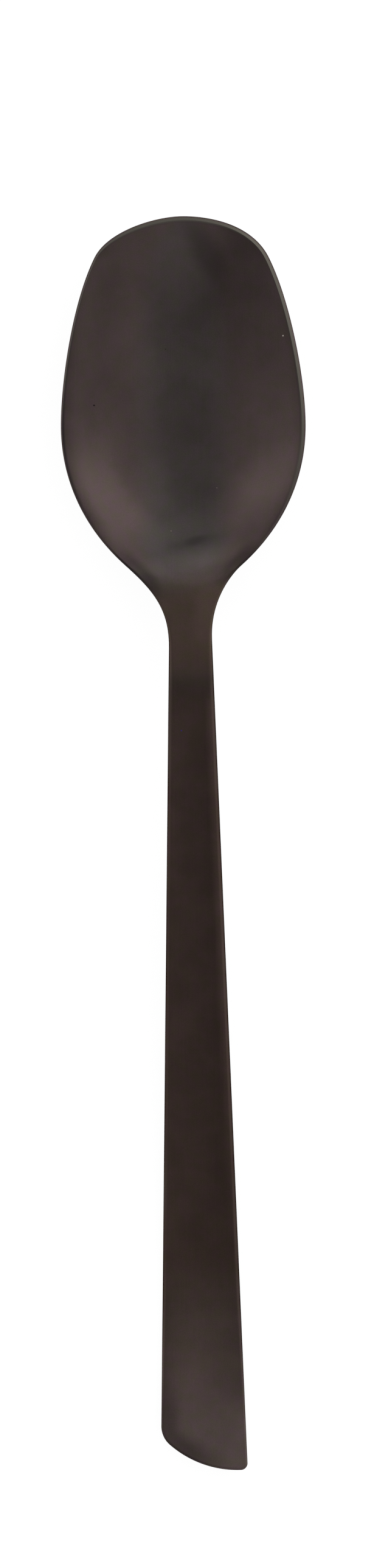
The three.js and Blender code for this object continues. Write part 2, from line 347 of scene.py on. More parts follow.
def bowl_corners(side):
    """The corners of the curves from the neck to the tip, as four lists for four cubic curves."""
    def along(start, angle, reach):
        return start[0] + side * math.cos(angle) * reach, start[1] + math.sin(angle) * reach

    neck = on_side(side, NECK_STRAIGHT[side])
    neck_control = on_side(side, NECK_STRAIGHT[side] + NECK_REACH[side])
    flank = (side * FLANK_WIDTH / 2, hollow_station + FLANK_LEAD)
    widest = (side * half_width, widest_station)
    shoulder = (side * (half_width - SHOULDER_INSET[side]), tip_station - SHOULDER_DROP)
    sweep = [neck, neck_control, along(flank, FLANK_ANGLE, -SWEEP_REACH[side]), flank]
    heel_control = (widest[0], widest_station - SIDE_HEEL_REACH)
    heel = [flank, along(flank, FLANK_ANGLE, FLANK_REACH), heel_control, widest]
    front_control = (widest[0], widest_station + SIDE_FRONT_REACH)
    front = [widest, front_control, along(shoulder, -SHOULDER_ANGLE, SHOULDER_SIDE_REACH), shoulder]
    tip_control = (side * TIP_REACH, tip_station)
    shoulder_control = along(shoulder, -SHOULDER_ANGLE, -SHOULDER_FRONT_REACH[side])
    tip = [shoulder, shoulder_control, tip_control, (0, tip_station)]
    return sweep, heel, front, tip


print("cubic curves on each side of the bowl:", len(bowl_corners(LEFT)))

# %% Both sides of the bowl, sampled
BOWL_ROWS = [12, 24, 34, 46]
BOWL_HALF_COLUMNS = 36


def bowl_side(side):
    sweep, heel, front, tip = bowl_corners(side)
    neck_rows, sweep_rows, heel_rows, front_rows = BOWL_ROWS
    pieces = [
        straight(on_side(side, 0), on_side(side, NECK_STRAIGHT[side]), close_at_start(neck_rows)),
        bezier(sweep, even(sweep_rows)),
        bezier(heel, even(heel_rows)),
        bezier(front, even(front_rows)),
        bezier(tip, even(BOWL_HALF_COLUMNS)),
    ]
    return join(pieces, -side)


bowl_sides = {side: bowl_side(side) for side in (LEFT, RIGHT)}
print("points along each side of the bowl:", len(bowl_sides[LEFT][0]))

# %% The slanted end of the handle
END_RADIUS = 16.9 * MM
END_LOW_INSET = 1.75 * MM
CORNER_RADIUS = {LEFT: 4 * MM, RIGHT: 1.1 * MM}
LOWEST = -math.pi / 2

end_centre = np.array([side_x(RIGHT, end_station) - END_LOW_INSET, end_station + END_RADIUS])


def near_lowest(angle):
    """The same direction as an angle within half a turn of the lowest point of the arc."""
    turn = 2 * math.pi
    return angle + turn * round((LOWEST - angle) / turn)


def end_corner(side):
    """Round corner between a side and the end arc: its centre, and its angle at the side and at the arc."""
    radius = CORNER_RADIUS[side]
    run = np.array([side_x(side, 0) - side_x(side, end_station), -end_station])
    run /= np.linalg.norm(run)
    inward = -side * np.array([run[1], -run[0]])
    level_with_centre = np.array(on_side(side, end_centre[1])) + inward * radius
    to_centre = end_centre - level_with_centre
    nearest = to_centre @ run
    apart = to_centre @ to_centre - nearest**2
    centre = level_with_centre + run * (nearest - math.sqrt((END_RADIUS - radius) ** 2 - apart))
    from_end = centre - end_centre
    side_angle = math.atan2(-inward[1], -inward[0])
    return centre, near_lowest(side_angle), near_lowest(math.atan2(from_end[1], from_end[0]))


left_centre = end_corner(LEFT)[0]
print(f"left corner turns round x {left_centre[0] / MM:.1f} mm, station {left_centre[1] / MM:.1f} mm")

# %% Both sides of the handle, sampled
HANDLE_ROWS = [14, 40, 44, 14]
END_STEPS = {LEFT: [14, 26], RIGHT: [14, 8]}
BEND_ROWS_LENGTH = 4 * MM


def handle_side(side):
    centre, side_angle, end_angle = end_corner(side)
    radius = CORNER_RADIUS[side]
    half_angle = (side_angle + end_angle) / 2
    meets_side = centre + radius * np.array([math.cos(side_angle), math.sin(side_angle)])
    stations = [0, -BEND_ROWS_LENGTH, upturn_station]
    starts = [on_side(side, station) for station in stations] + [tuple(meets_side)]
    bend_rows, flat_rows, upturn_rows, corner_rows = HANDLE_ROWS
    corner_steps, arc_steps = END_STEPS[side]
    pieces = [
        straight(starts[0], starts[1], close_at_start(bend_rows)),
        straight(starts[1], starts[2], even(flat_rows)),
        straight(starts[2], starts[3], even(upturn_rows)),
        arc(centre, radius, side_angle, half_angle, even(corner_rows)),
        arc(centre, radius, half_angle, end_angle, even(corner_steps)),
        arc(end_centre, END_RADIUS, end_angle, LOWEST, even(arc_steps)),
    ]
    return join(pieces, side)


handle_sides = {side: handle_side(side) for side in (LEFT, RIGHT)}
print("points along each side of the handle:", [len(run[0]) for run in handle_sides.values()])

# %% [markdown]
# ## The edge in section
#
# On the handle and neck both edges are rounded. Round the bowl the rim is thin: the ground land slopes
# outwards, a small round follows, and the lower edge is only softened. The two shapes have the same number
# of steps, so that one can pass into the other along the heel.

# %% Steps of the two edge shapes
EDGE_RADIUS = 0.9 * MM
HEEL_EDGE_RADIUS = 0.35 * MM
HELD_EDGE_RADIUS = 0.45 * MM
HELD_EDGE_LENGTH = 10 * MM
EDGE_POWER = 2.8
LAND_TILT = math.tan(math.radians(25))
LAND_ROUND = 0.2 * MM
LAND_STEPS = 6
ROUND_STEPS = 4
LOWER_STEPS = 6


def edge_radius(station):
    """Full on the handle, and small at its held end and where the neck opens into the bowl."""
    heel = smoothstep(station, 0, hollow_station)
    held = smoothstep(-station, -upturn_station, -end_station - HELD_EDGE_LENGTH)
    return EDGE_RADIUS + (HEEL_EDGE_RADIUS - EDGE_RADIUS) * heel + (HELD_EDGE_RADIUS - EDGE_RADIUS) * held


def rounded_upper(radius):
    """Inset and drop from the upper face to the side. The round starts so slowly that no line shows there."""
    angle = even(LAND_STEPS + ROUND_STEPS)[:, None] * math.pi / 2
    across, down = (np.abs(f(angle)) ** (2 / EDGE_POWER) for f in (np.sin, np.cos))
    return radius * (1 - across), radius * (1 - down)


def ground_upper(width):
    """Inset and drop along the flat land and the small round outside it."""
    flat = width - LAND_ROUND
    share = even(LAND_STEPS)[:, None]
    t = even(ROUND_STEPS)[1:, None]
    rounding = np.repeat(LAND_ROUND * (1 - t) ** 2, len(width), axis=1)
    inset = np.vstack([width - flat * share, rounding])
    corner = LAND_TILT * width
    turning = LAND_TILT * flat * (1 - t) ** 2 + 2 * corner * t * (1 - t) + (corner + LAND_ROUND) * t**2
    return inset, np.vstack([LAND_TILT * flat * share, turning])


print("steps over the upper edge:", LAND_STEPS + ROUND_STEPS, "and under the lower one:", LOWER_STEPS)

# %% Rings of points round the edge
def ground_share(station):
    """0 along the handle and neck, 1 round the bowl."""
    return smoothstep(station, hollow_station, floor_station)


def edge_rings(points, inward):
    """Rings from the border of the upper face round the edge to the border of the lower face."""
    station = points[:, 1]
    share = ground_share(station)
    bar = upper_line(station) - lower_line(station)
    radius = edge_radius(station)
    bar_upper = rounded_upper(radius)
    rim_upper = ground_upper(land_width(-inward))
    inset, drop = (a * (1 - share) + b * share for a, b in zip(bar_upper, rim_upper))
    height = bar * (1 - share) + LIP_THICKNESS * share
    lower_radius = radius * (1 - share) + LIP_ROUND * share
    angle = even(LOWER_STEPS)[:, None] * math.pi / 2
    inset = np.vstack([inset, lower_radius * (1 - np.cos(angle))])
    drop = np.vstack([drop, height - lower_radius * (1 - np.sin(angle))])
    plan = points + inward * inset[..., None]
    return np.dstack([plan, rim_line(plan[..., 1]) - drop])


print("rings round each edge:", len(edge_rings(*bowl_sides[LEFT])))

# %% [markdown]
# ## Faces without a pole
#
# A fan of triangles at the tip would leave a pinch that shows in every reflection. So each face is one net
# of quads: its rows start straight at the bend and bend more and more, until the last row is the tip of the
# bowl or the slanted end of the handle. Mixing the four borders in this way is known as a Coons patch.

# %% A net of quads between four borders
def length_share(points):
    steps = np.linalg.norm(np.diff(points, axis=0), axis=1)
    return np.concatenate([[0], np.cumsum(steps)]) / steps.sum()


def net(left, right, rows):
    """Plan of a face between its left and right border. The borders' points after rows form the last row."""
    near, far = left[: rows + 1], right[: rows + 1]
    last = np.vstack([left[rows:], right[rows:-1][::-1]])
    u = length_share(last)[None, :, None]
    v = (length_share(near) + length_share(far))[:, None, None] / 2
    first = near[0] * (1 - u) + far[0] * u
    across = near[:, None] * (1 - u) + far[:, None] * u
    along = first * (1 - v) + last[None] * v
    corners = first * (1 - v) + (near[-1] * (1 - u) + far[-1] * u) * v
    return across + along - corners


# %% Heights over the net
SECTION_FULLNESS = 0.15
LEAST_HALF_WIDTH = 0.001 * MM


def across_square(plan, left, right):
    """Square of the place across the bowl: 0 in the middle, 1 at both borders, also at the very tip."""
    knots = np.union1d(left[:, 1], right[:, 1])
    left_x = np.interp(knots, left[:, 1], left[:, 0])
    right_x = np.interp(knots, right[:, 1], right[:, 0])
    middle = np.interp(plan[..., 1], knots, (left_x + right_x) / 2)
    half_square = np.interp(plan[..., 1], knots, ((right_x - left_x) / 2) ** 2)
    return np.clip((plan[..., 0] - middle) ** 2 / np.maximum(half_square, LEAST_HALF_WIDTH**2), 0, 1)


def dished(station, square, middle_line, border_line):
    """Heights that rise from the middle line to the border line, a little steeper than a parabola."""
    rise = square * (1 - SECTION_FULLNESS) + square**2 * SECTION_FULLNESS
    return middle_line(station) * (1 - rise) + border_line(station) * rise


def rim_back_line(station):
    share = ground_share(station)
    bar = upper_line(station) - lower_line(station)
    return rim_line(station) - (bar * (1 - share) + LIP_THICKNESS * share)


# %% Both faces and the edge of one piece
def faces_and_edge(sides, rows, is_dished):
    """Upper net, lower net and edge rings of a piece, and the square of each place across the lower net."""
    rings = {side: edge_rings(*sides[side]) for side in (LEFT, RIGHT)}
    nets = []
    for ring, lines in ((0, (upper_line, rim_line)), (-1, (lower_line, rim_back_line))):
        left, right = (rings[side][ring, :, :2] for side in (LEFT, RIGHT))
        plan = net(left, right, rows)
        square = across_square(plan, left, right) if is_dished else np.zeros(plan.shape[:2])
        nets.append(np.dstack([plan, dished(plan[..., 1], square, *lines)]))
    edge = np.concatenate([rings[LEFT], rings[RIGHT][:, :-1][:, ::-1]], axis=1)
    return nets[0], nets[1], edge, square


bowl_parts = faces_and_edge(bowl_sides, sum(BOWL_ROWS), True)
handle_parts = faces_and_edge(handle_sides, sum(HANDLE_ROWS), False)
print("net of the bowl:", bowl_parts[0].shape[:2], "net of the handle:", handle_parts[0].shape[:2])

# %% [markdown]
# ## From nets to a closed mesh
#
# The two nets and the rings share their border points, so the skin is closed without merging anything
# afterwards. At the bend line a flat section closes it. Its edge is marked sharp, because smooth shading
# would otherwise darken both skins where they meet, and so is the inner edge of the ground land, which is
# crisp on the real rim.

# %% Quads between rows of point numbers
def quads(numbers):
    a, b = numbers[:-1, :-1], numbers[:-1, 1:]
    c, d = numbers[1:, 1:], numbers[1:, :-1]
    return np.stack([a, b, c, d], axis=-1).reshape(-1, 4).tolist()


def border(numbers):
    """Point numbers of a net along its left side, its last row and its right side."""
    return np.concatenate([numbers[:, 0], numbers[-1, 1:], numbers[::-1, -1][1:]])


def section(upper, lower, edge):
    """Faces of the flat section at the bend line: a row of quads and a round end on each side."""
    middle = quads(np.stack([upper[0], lower[0]]))
    return middle + [edge[:, 0].tolist(), edge[:, -1].tolist()]


# %% Outward faces and sharp lines
def tidy_mesh(mesh, cap_count, crisp):
    """Turns all faces outwards, and marks the border of the flat section and the crisp line sharp."""
    crisp = set(crisp.tolist())
    work = bmesh.new()
    work.from_mesh(mesh)
    bmesh.ops.recalc_face_normals(work, faces=work.faces)
    work.faces.ensure_lookup_table()
    cap = set(work.faces[:cap_count])
    for edge in work.edges:
        on_section = len(cap.intersection(edge.link_faces)) == 1
        edge.smooth = not on_section and not crisp.issuperset(v.index for v in edge.verts)
    work.to_mesh(mesh)
    work.free()
    mesh.shade_smooth()


# %% Build one skin
CRISP_STARTS = 0.05


def skin(name, upper, lower, edge):
    """A closed mesh over both nets and the edge, and the point numbers of its rings round the edge."""
    inner = edge[1:-1]
    points = np.vstack([part.reshape(-1, 3) for part in (upper, lower, inner)])
    points[:, 1] += bend_y
    upper_numbers = np.arange(upper[..., 0].size).reshape(upper.shape[:2])
    lower_numbers = upper_numbers + upper_numbers.size
    inner_numbers = np.arange(inner[..., 0].size).reshape(inner.shape[:2]) + 2 * upper_numbers.size
    rings = np.vstack([border(upper_numbers), inner_numbers, border(lower_numbers)])
    cap = section(upper_numbers, lower_numbers, rings)
    walls = quads(upper_numbers) + quads(lower_numbers) + quads(rings)
    mesh = bpy.data.meshes.new(name)
    mesh.from_pydata(points.tolist(), [], cap + walls)
    on_land = ground_share(edge[0, :, 1]) > CRISP_STARTS
    tidy_mesh(mesh, len(cap), rings[0][on_land])
    piece = bpy.data.objects.new(name, mesh)
    bpy.context.scene.collection.objects.link(piece)
    return piece, rings


bowl, bowl_rings = skin("bowl_skin", *bowl_parts[:3])
handle, handle_rings = skin("handle_skin", *handle_parts[:3])
for piece in (bowl, handle):
    print(piece.name, len(piece.data.vertices), "points,", len(piece.data.polygons), "faces")

# %% [markdown]
# ## Skins ride on the frame
#
# Nothing moves on a spoon, so both skins ride on the one body of the frame. Each stands for its solid, which
# is hidden.

# %% Ride and replace
for piece, node in ((bowl, "bowl"), (handle, "handle")):
    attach(piece, "root")
    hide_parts(node)
    print(piece.name, "stands for", node)

# %% Measure the skins against the solids
def surface_tree(piece):
    mesh = piece.data
    return BVHTree.FromPolygons([v.co for v in mesh.vertices], [p.vertices for p in mesh.polygons])


def largest_gap(points_of, surface_of):
    tree = surface_tree(surface_of)
    return max(tree.find_nearest(v.co)[3] for v in points_of.data.vertices)


for piece, node in ((bowl, "bowl"), (handle, "handle")):
    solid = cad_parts[node]
    out, back = largest_gap(piece, solid), largest_gap(solid, piece)
    print(f"{piece.name}: {out / MM:.3f} mm from the solid at most, and {back / MM:.3f} mm the other way")

# %% [markdown]
# ## Marks for the finish
#
# The finish has to know where the rim is ground and how light and shade are painted on that land, where an
# edge is exposed, where the walls of the bowl rise, which face looks up, where light and shade are painted on
# the coat, and where along the spoon it is. The nets and rings know all this, so each point keeps seven
# numbers, and the finish reads them as attributes. Painting them by hand would have to be done again after
# every change of shape.

# %% Store the ground rim, the walls and the edges
WALL_STARTS = 0.02
WALL_FULL = 0.25
HEEL_WALL_STARTS = 0.12
HEEL_WALL_FULL = 0.5
HEEL_FADE = 6 * MM
FRONT_LAND_TONE = 0.6
FRONT_LAND = (40 * MM, 50 * MM)


def wall_share(station, square):
    """0 along the middle of the bowl, 1 on its walls. The middle is wider at the heel."""
    heel = 1 - smoothstep(station, heel_station, heel_station + HEEL_FADE)
    starts = WALL_STARTS + (HEEL_WALL_STARTS - WALL_STARTS) * heel
    full = WALL_FULL + (HEEL_WALL_FULL - WALL_FULL) * heel
    return smoothstep(square, starts, full) * smoothstep(station, hollow_station, heel_station)


def land_tone(station, outward):
    """Painted light on the land: 1, a painted highlight, on its wide side, less on the other side of the
    bowl's front, and 0, painted shade, elsewhere.
    """
    share = land_share(outward)
    return share + (1 - share) * FRONT_LAND_TONE * smoothstep(station, *FRONT_LAND)


def mark(piece, name, values):
    attribute = piece.data.attributes.new(name, "FLOAT", "POINT")
    attribute.data.foreach_set("value", values.astype(np.float32))


def mark_piece(piece, sides, rings, parts):
    """Stores the first five marks, which follow from the nets and the rings alone."""
    upper, lower, edge, square = parts
    rim_station = edge[0, :, 1]
    outward = -np.vstack([sides[LEFT][1], sides[RIGHT][1][:-1][::-1]])
    land, painted_land_light, exposed, wall, front = np.zeros((5, len(piece.data.vertices)))
    front[: square.size] = 1
    land[rings[:LAND_STEPS]] = ground_share(rim_station)
    # Painted light on the land: a highlight on its wide side, painted shade on the other side.
    painted_land_light[rings] = land_tone(rim_station, outward)
    for number, ring in enumerate(rings):
        exposed[ring] = math.sin(math.pi * number / (len(rings) - 1))
    wall[: 2 * square.size] = wall_share(np.array([upper[..., 1], lower[..., 1]]), square).ravel()
    wall[rings] = smoothstep(edge[..., 1], hollow_station, heel_station)
    marks = {"land": land, "painted_land_light": painted_land_light, "exposed": exposed, "wall": wall, "front": front}
    for name, values in marks.items():
        mark(piece, name, values)


mark_piece(bowl, bowl_sides, bowl_rings, bowl_parts)
mark_piece(handle, handle_sides, handle_rings, handle_parts)

# %% Bands along an edge
def edge_band(plan, outline, strength, full, width):
    """The strength given at the nearest outline points: full at the edge, fading inwards."""
    near, strength = outline[strength > 0], strength[strength > 0]
    apart = np.linalg.norm(plan[..., None, :] - near, axis=-1)
    return (strength * smoothstep(-apart, -width, -full)).max(axis=-1)


def between(station, starts, full, fades, ends):
    """0 up to one station, 1 between the next two, and 0 again from the last one on."""
    return smoothstep(station, starts, full) * (1 - smoothstep(station, fades, ends))


def mark_shade(piece, rings, values, edge_shade=1.0):
    """Stores the painted light and shade over both faces. The edge is like the border of the upper face."""
    shade = np.ones(len(piece.data.vertices))
    shade[: values.size] = values.ravel()
    shade[rings] = shade[rings[0]]
    shade[rings[1:-1]] *= edge_shade
    mark(piece, "shade", shade)


# %% Painted light and shade on the bowl
# Painted light on the walls towards the rim, past the heel.
RIMWARD_STARTS = 0.5
RIMWARD_GAIN = 0.4
RIMWARD = (heel_station - 2 * MM, heel_station + 3 * MM, widest_station, tip_station)
# Painted shade along both sides where the neck flares.
FLARE_BAND = {
    LEFT: (13 * MM, 16.5 * MM, 18 * MM, 21.5 * MM),
    RIGHT: (16 * MM, 18.5 * MM, 19.5 * MM, 22.5 * MM),
}
FLARE_BAND_FULL = 1.2 * MM
FLARE_BAND_WIDTH = 2.7 * MM
FLARE_BAND_DEPTH = 0.42
# Painted light along the right of the neck.
NECK_BAND = (4 * MM, 9 * MM, 14 * MM, 17 * MM)
NECK_BAND_FULL = 1.5 * MM
NECK_BAND_WIDTH = 4.5 * MM
NECK_BAND_GAIN = 0.24


def side_band(plan, side, stations, full, width):
    """1 along one side of the bowl's outline between the stations, fading inwards."""
    outline = bowl_sides[side][0]
    return edge_band(plan, outline, between(outline[:, 1], *stations), full, width)


def bowl_shade(face, square):
    """Painted light towards the rim past the heel and on the right of the neck, painted shade where the neck
    flares.
    """
    plan, station = face[..., :2], face[..., 1]
    shade = 1 + RIMWARD_GAIN * smoothstep(square, RIMWARD_STARTS, 1) * between(station, *RIMWARD)
    for side, stations in FLARE_BAND.items():
        shade -= FLARE_BAND_DEPTH * side_band(plan, side, stations, FLARE_BAND_FULL, FLARE_BAND_WIDTH)
    return shade + NECK_BAND_GAIN * side_band(plan, RIGHT, NECK_BAND, NECK_BAND_FULL, NECK_BAND_WIDTH)


*bowl_faces, _, bowl_square = bowl_parts
bowl_values = np.array([bowl_shade(face, bowl_square) for face in bowl_faces])
mark_shade(bowl, bowl_rings, bowl_values)
print(f"shade of the bowl from {bowl_values.min():.2f} to {bowl_values.max():.2f}")

# %% Painted light and shade on the handle
SIDE_GAIN = 0.18
SIDE_FADE = 9 * MM
# A painted highlight along the right edge of the handle.
PAINTED_EDGE_HIGHLIGHT = (0, 5 * MM, 40 * MM, 110 * MM)
EDGE_HIGHLIGHT_GAIN = 0.65
EDGE_HIGHLIGHT_FULL = 0.3 * MM
EDGE_HIGHLIGHT_WIDTH = 2 * MM
HELD_DEPTH = 0.2
HELD_EDGE_DEPTH = 0.12
END_BAND_LENGTH = 15 * MM
END_BAND_FULL = 8 * MM
END_BAND_RIGHT = 5.5 * MM
END_BAND_EDGE = 1.2 * MM
END_BAND_WIDTH = 4.2 * MM
END_BAND_DEPTH = 0.42


def near_end(station):
    """0 over most of the handle, 1 close to its end."""
    return smoothstep(-station, -end_station - END_BAND_LENGTH, -end_station - END_BAND_FULL)


def end_band(plan, outline):
    """1 along the left and the front of the slanted end."""
    strength = near_end(outline[:, 1]) * smoothstep(-outline[:, 0], -END_BAND_RIGHT, 0)
    return edge_band(plan, outline, strength, END_BAND_EDGE, END_BAND_WIDTH)


def painted_edge_highlight(plan, outline):
    """Painted highlight: 1 along the right edge near the bend, less and less towards the held end."""
    strength = between(-outline[:, 1], *PAINTED_EDGE_HIGHLIGHT)
    return edge_band(plan, outline, strength, EDGE_HIGHLIGHT_FULL, EDGE_HIGHLIGHT_WIDTH)


def handle_shade(face):
    """Painted light on the left and along the right edge, painted shade at the sides of the held end and at
    its slant.
    """
    plan, station = face[..., :2], face[..., 1]
    across = 2 * length_share(plan[-1]) - 1
    held = smoothstep(-station, -upturn_station, -upturn_station + SIDE_FADE)
    # Painted light on the left of the handle and painted shade on its right.
    sideways = SIDE_GAIN * across * smoothstep(-station, 0, SIDE_FADE) * (1 - held)
    # Painted shade at both sides of the held end, lighter along its middle.
    held_sides = HELD_DEPTH * held * across**2 * (1 - near_end(station))
    outline = np.vstack([points for points, _ in handle_sides.values()])
    # Painted shade along the left and the front of the slanted end.
    band = END_BAND_DEPTH * end_band(plan, outline)
    return 1 - sideways - held_sides - band + EDGE_HIGHLIGHT_GAIN * painted_edge_highlight(plan, handle_sides[RIGHT][0])


*handle_faces, handle_edge, _ = handle_parts
handle_values = np.array([handle_shade(face) for face in handle_faces])
# Painted shade on the edge round the held end, dimming the reflection of its round.
edge_shade = 1 - HELD_EDGE_DEPTH * near_end(handle_edge[1:-1, :, 1])
mark_shade(handle, handle_rings, handle_values, edge_shade)
print(f"shade of the handle from {handle_values.min():.2f} to {handle_values.max():.2f}")

# %% Store the place along the spoon
HEEL_LEAN = 0.2
LEANING = (5 * MM, 12 * MM, 24 * MM, 34 * MM)


def mark_along(piece):
    """0 at the end of the handle, 1 at the tip. At the heel the lines of equal colour rise to the right."""
    places = np.zeros(3 * len(piece.data.vertices))
    piece.data.vertices.foreach_get("co", places)
    x, y, _ = places.reshape(-1, 3).T
    station = y - bend_y
    leaning = station - HEEL_LEAN * x * between(station, *LEANING)
    mark(piece, "along", (leaning - end_station) / (tip_station - end_station))


mark_along(bowl)
mark_along(handle)
print("marks:", [a.name for a in bowl.data.attributes if a.domain == "POINT" and a.data_type == "FLOAT"])

# %% [markdown]
# ## The coating
#
# The dark coat is a film of a few thousandths of a millimetre over brushed steel, so it shines like a metal
# and keeps the fine lines of the brushing. Its colour drifts along the spoon: pinkish on the walls of the
# bowl, olive on the neck, brown on the handle. In that drift the grey along the floor and heel is a painted
# reflection, the heel band, the middle of the bowl and the end that is held carry painted light, and the bend
# carries painted shade. An image would be tied to one size, so the drift follows the spoon's own places, and
# the brushing is noise that is stretched lengthwise. It drives colour, roughness and bump together.

# %% Node helpers
def srgb(red, green, blue):
    """A colour as it is seen, in 0 to 255, as the linear colour that nodes use."""
    seen = np.array([red, green, blue]) / 255
    linear = np.where(seen <= 0.04045, seen / 12.92, ((seen + 0.055) / 1.055) ** 2.4)
    return (*linear.tolist(), 1)


class Finish:
    """A material in the making: adds nodes and links them."""

    def __init__(self, name):
        self.material = bpy.data.materials.new(name)
        self.material.use_nodes = True
        self.tree = self.material.node_tree
        self.shader = self.tree.nodes["Principled BSDF"]

    def node(self, kind, values=None, **settings):
        made = self.tree.nodes.new(kind)
        for key, value in settings.items():
            setattr(made, key, value)
        for key, value in (values or {}).items():
            self.feed(made.inputs[key], value)
        return made

    def feed(self, socket, value):
        if isinstance(value, bpy.types.NodeSocket):
            self.tree.links.new(value, socket)
        else:
            socket.default_value = value

    def math(self, operation, first, second=0.0):
        return self.node("ShaderNodeMath", {0: first, 1: second}, operation=operation).outputs[0]

    def span(self, value, low, high, to_low=0.0, to_high=1.0):
        """Maps a range of values to another, with soft ends."""
        limits = {"Value": value, "From Min": low, "From Max": high, "To Min": to_low, "To Max": to_high}
        return self.node("ShaderNodeMapRange", limits, interpolation_type="SMOOTHSTEP").outputs["Result"]

    def mix(self, share, first, second, blend="MIX"):
        """Mixes two colours. In this node, inputs 6 and 7 and output 2 are the ones for colours."""
        made = self.node("ShaderNodeMix", data_type="RGBA", blend_type=blend)
        for socket, value in zip((made.inputs[0], made.inputs[6], made.inputs[7]), (share, first, second)):
            self.feed(socket, value)
        return made.outputs[2]

    def grey(self, value):
        return self.node("ShaderNodeCombineColor", {0: value, 1: value, 2: value}).outputs[0]

    def stored(self, name):
        return self.node("ShaderNodeAttribute", attribute_name=name).outputs["Fac"]

    def place(self):
        return self.node("ShaderNodeTexCoord").outputs["Object"]


# %% Noise in the spoon's own place
BRUSH_STRETCH = (1, 0.02, 0.02)


def noise(finish, lumps_per_metre, stretch=(1, 1, 1), detail=2.0):
    vector = finish.node("ShaderNodeMapping", {"Vector": finish.place(), "Scale": stretch}).outputs[0]
    values = {"Vector": vector, "Scale": lumps_per_metre, "Detail": detail}
    return finish.node("ShaderNodeTexNoise", values).outputs["Fac"]


def brushing(finish, lines_per_metre):
    """Lines along the spoon: close together across it, and long."""
    return noise(finish, lines_per_metre, stretch=BRUSH_STRETCH, detail=3.0)


# %% Colour along the spoon
# Painted light on the held end, the heel band and the middle of the bowl, painted shade at the bend, and a
# painted grey reflection along the floor and heel.
DRIFT = [
    ("end", end_station + 6 * MM, srgb(83, 72, 70)),
    ("held", end_station + 18 * MM, srgb(79, 67, 64)),
    ("held from here", end_station + 24 * MM, srgb(74, 63, 59)),
    ("upturn", upturn_station, srgb(58, 47, 43)),
    ("handle", -4 * MM, srgb(58, 47, 44)),
    ("bend", 0.2 * MM, srgb(54, 46, 43)),
    ("neck", 4 * MM, srgb(63, 52, 47)),
    ("wide neck", hollow_station - 0.8 * MM, srgb(69, 58, 52)),
    ("heel band", hollow_station + 4.2 * MM, srgb(71, 65, 64)),
    ("heel", heel_station, srgb(60, 56, 55)),
    ("floor", floor_station, srgb(61, 55, 54)),
    ("middle of the bowl", floor_station + 11 * MM, srgb(66, 60, 59)),
    ("front of the bowl", floor_station + 22 * MM, srgb(61, 55, 54)),
]


def drift(finish):
    """The colour along the spoon, the coat's own with painted light and shade in it, as a ramp from the end
    of the handle to the tip.
    """
    ramp = finish.node("ShaderNodeValToRGB", {"Fac": finish.stored("along")})
    stops = ramp.color_ramp.elements
    while len(stops) < len(DRIFT):
        stops.new(1.0)
    for stop, (_, station, colour) in zip(stops, DRIFT):
        stop.position = (station - end_station) / (tip_station - end_station)
        stop.color = colour
    return ramp.outputs["Color"]


print("colours along the spoon:", ", ".join(name for name, _, _ in DRIFT))

# %% Small marks in the coat, and painted shade at the heel and the tip
SPECK = (0.17 * MM, 0.17 * MM)
TINY_SPECK = (0.13 * MM, 0.13 * MM)
FAINT = srgb(110, 100, 95)
# Colour of the painted shade at the heel.
HEEL_DASH = srgb(42, 39, 38)
# Name, x, station, half length and half width, tilt in degrees, strength and colour
SPECKS = [
    ("pale", 16.3 * MM, 56.5 * MM, SPECK, 0, 1, srgb(190, 180, 172)),
    ("dark", -14.6 * MM, 45.2 * MM, (0.24 * MM, 0.2 * MM), 0, 1, srgb(20, 16, 16)),
    ("violet", -0.3 * MM, -8.0 * MM, SPECK, 0, 1, srgb(60, 40, 120)),
    ("faint", 5.5 * MM, 31.8 * MM, TINY_SPECK, 0, 0.7, FAINT),
    ("faint", -2.0 * MM, 24.7 * MM, TINY_SPECK, 0, 0.7, FAINT),
    ("dark", -2.9 * MM, 54.5 * MM, TINY_SPECK, 0, 0.7, srgb(30, 26, 26)),
    # The heel dash and its middle are painted shade, and the streak at the tip is a painted dark reflection.
    ("dash at the heel", 2.2 * MM, 23.0 * MM, (6 * MM, 1.3 * MM), 12, 0.35, HEEL_DASH),
    ("its dark middle", 2.0 * MM, 23.1 * MM, (2.6 * MM, 1 * MM), 17, 0.5, HEEL_DASH),
    ("streak at the tip", 3.9 * MM, 69.8 * MM, (8 * MM, 3.6 * MM), -63, 0.5, srgb(38, 33, 32)),
]
FROM_ABOVE = (1, 1, 0)
MARK_ENDS = 1.0
MARK_FULL = 0.2


def apart_from_mark(finish, x, station, size, tilt):
    """Distance from the middle of a mark, seen from above: 1 at its half length and at its half width."""
    from_above = {0: finish.place(), 1: FROM_ABOVE}
    flat = finish.node("ShaderNodeVectorMath", from_above, operation="MULTIPLY").outputs[0]
    frame_of_mark = {
        "Vector": flat,
        "Location": (x, bend_y + station, 0),
        "Rotation": (0, 0, math.radians(tilt)),
        "Scale": (*size, 1),
    }
    inside = finish.node("ShaderNodeMapping", frame_of_mark, vector_type="TEXTURE").outputs[0]
    return finish.node("ShaderNodeVectorMath", {0: inside}, operation="LENGTH").outputs["Value"]


def with_specks(finish, colour):
    """Adds the soft marks, and the painted shade of the heel dash and the tip streak, to a colour, on the
    upper face alone.
    """
    for _, x, station, size, tilt, strength, mark_colour in SPECKS:
        apart = apart_from_mark(finish, x, station, size, tilt)
        share = finish.span(apart, MARK_ENDS, MARK_FULL, 0, strength)
        share = finish.math("MULTIPLY", share, finish.stored("front"))
        colour = finish.mix(share, colour, mark_colour)
    return colour


print("small marks:", ", ".join(speck[0] for speck in SPECKS))

